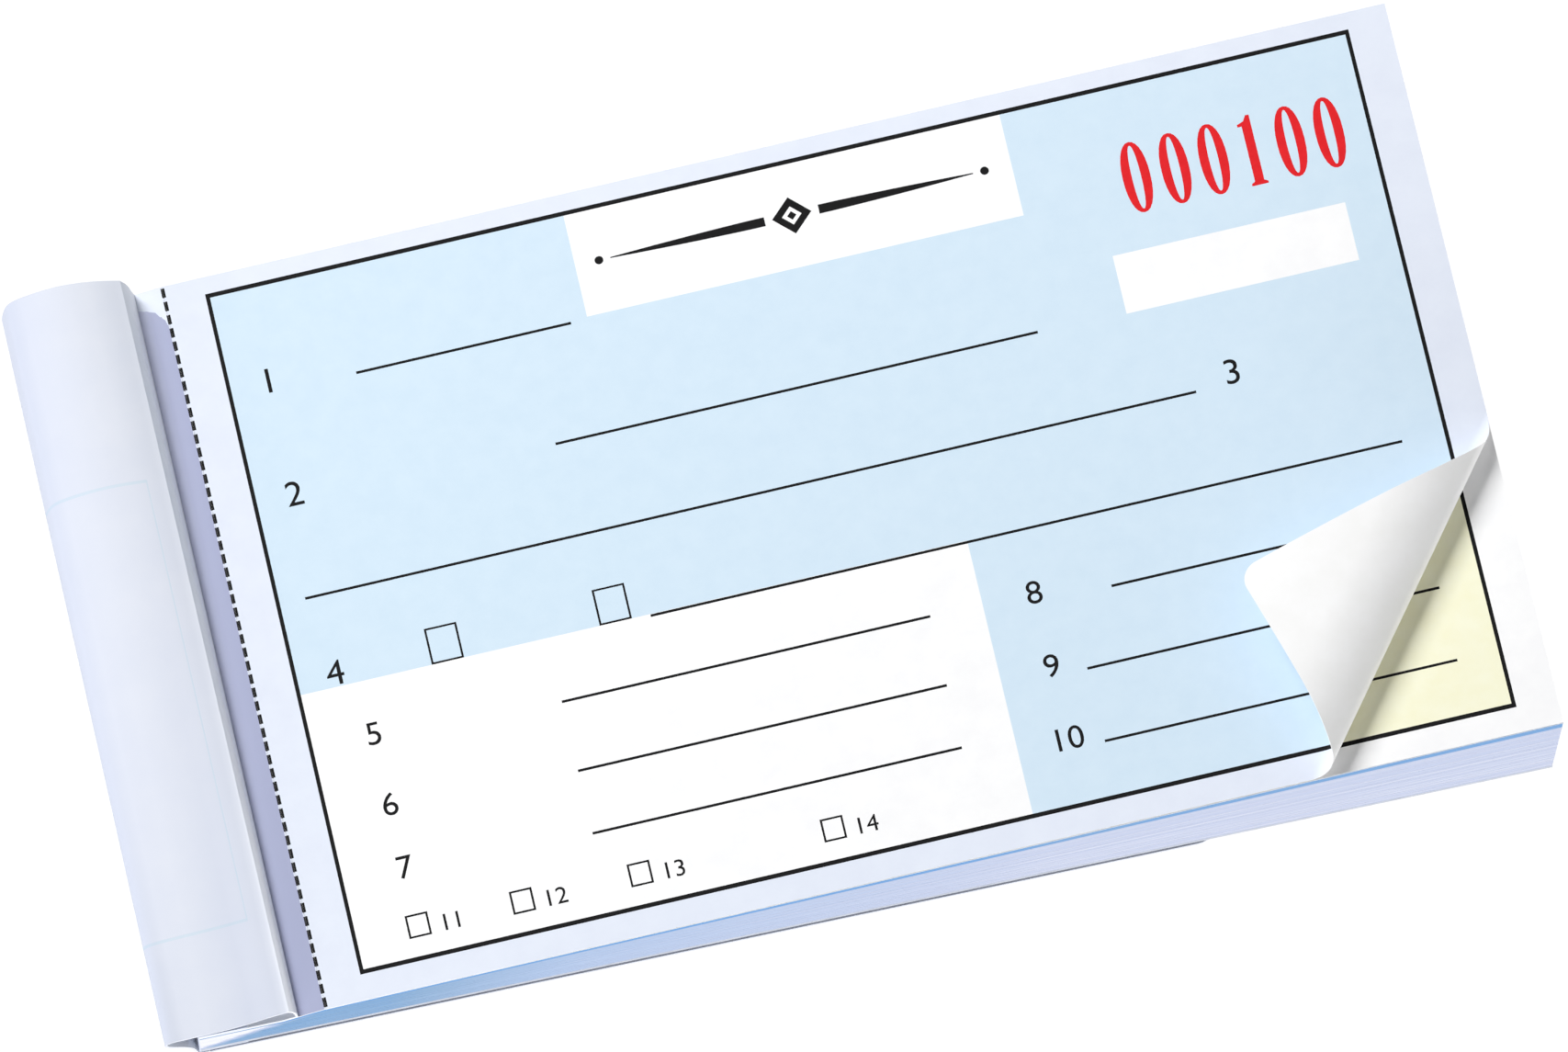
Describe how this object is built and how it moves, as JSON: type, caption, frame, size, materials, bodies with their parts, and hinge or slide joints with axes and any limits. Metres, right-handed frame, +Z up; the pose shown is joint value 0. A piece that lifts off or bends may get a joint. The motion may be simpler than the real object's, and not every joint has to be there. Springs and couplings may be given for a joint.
{
  "type": "duplicate receipt book",
  "caption": "Pocket receipt book of carbonless sets, stapled at the spine, with its cover turned back and the corner of the perforated top receipt curled over the tinted copy.",
  "frame": {"origin": "middle of the footprint, on the surface that the book lies on", "axes": "+X from the spine to the free edge of the sheets, +Y from the near to the far edge of the form, +Z up out of the top sheet"},
  "size_m": [0.1334, 0.075, 0.0162],
  "materials": {
    "white_paper": "matte uncoated",
    "tinted_paper": "matte uncoated",
    "cover_card": "smooth matte card",
    "backing_board": "matte pulp board",
    "binding_tape": "creped gummed tape",
    "staple_wire": "drawn wire"
  },
  "bodies": {
    "book": {"front_cover": "cover_card", "back_cover": "backing_board", "binding_tape": "binding_tape", "staples": "staple_wire", "original_01_margin": "white_paper", "duplicate_01_margin": "tinted_paper", "receipt_set_02": "white_paper", "receipt_set_03": "white_paper", "receipt_set_04": "white_paper", "receipt_set_05": "white_paper", "receipt_set_06": "white_paper", "receipt_set_07": "white_paper", "receipt_set_08": "white_paper", "receipt_set_09": "white_paper", "receipt_set_10": "white_paper", "receipt_set_11": "white_paper", "receipt_set_12": "white_paper", "receipt_set_13": "white_paper", "receipt_set_14": "white_paper", "receipt_set_15": "white_paper", "receipt_set_16": "white_paper", "receipt_set_17": "white_paper", "receipt_set_18": "white_paper", "receipt_set_19": "white_paper", "receipt_set_20": "white_paper", "receipt_set_21": "white_paper", "receipt_set_22": "white_paper", "receipt_set_23": "white_paper", "receipt_set_24": "white_paper", "receipt_set_25": "white_paper"},
    "duplicate_leaf": {"duplicate_01_leaf": "tinted_paper"},
    "original_leaf": {"original_01_leaf": "white_paper"},
    "cover_flap": {"front_cover_flap": "cover_card"}
  },
  "joints": [
    {"name": "duplicate_bend", "type": "hinge", "parent": "book", "child": "duplicate_leaf", "pos_m": [-0.05128, 0, 0.00455], "axis": [0, -1, 0], "range_deg": [0, 60]},
    {"name": "original_bend", "type": "hinge", "parent": "duplicate_leaf", "child": "original_leaf", "pos_m": [-0.05128, 0, 0.00462], "axis": [0, -1, 0], "range_deg": [0, 70]},
    {"name": "cover_flap_swing", "type": "hinge", "parent": "book", "child": "cover_flap", "pos_m": [-0.0625, 0, 0], "axis": [0, 1, 0], "range_deg": [0, 180]}
  ]
}
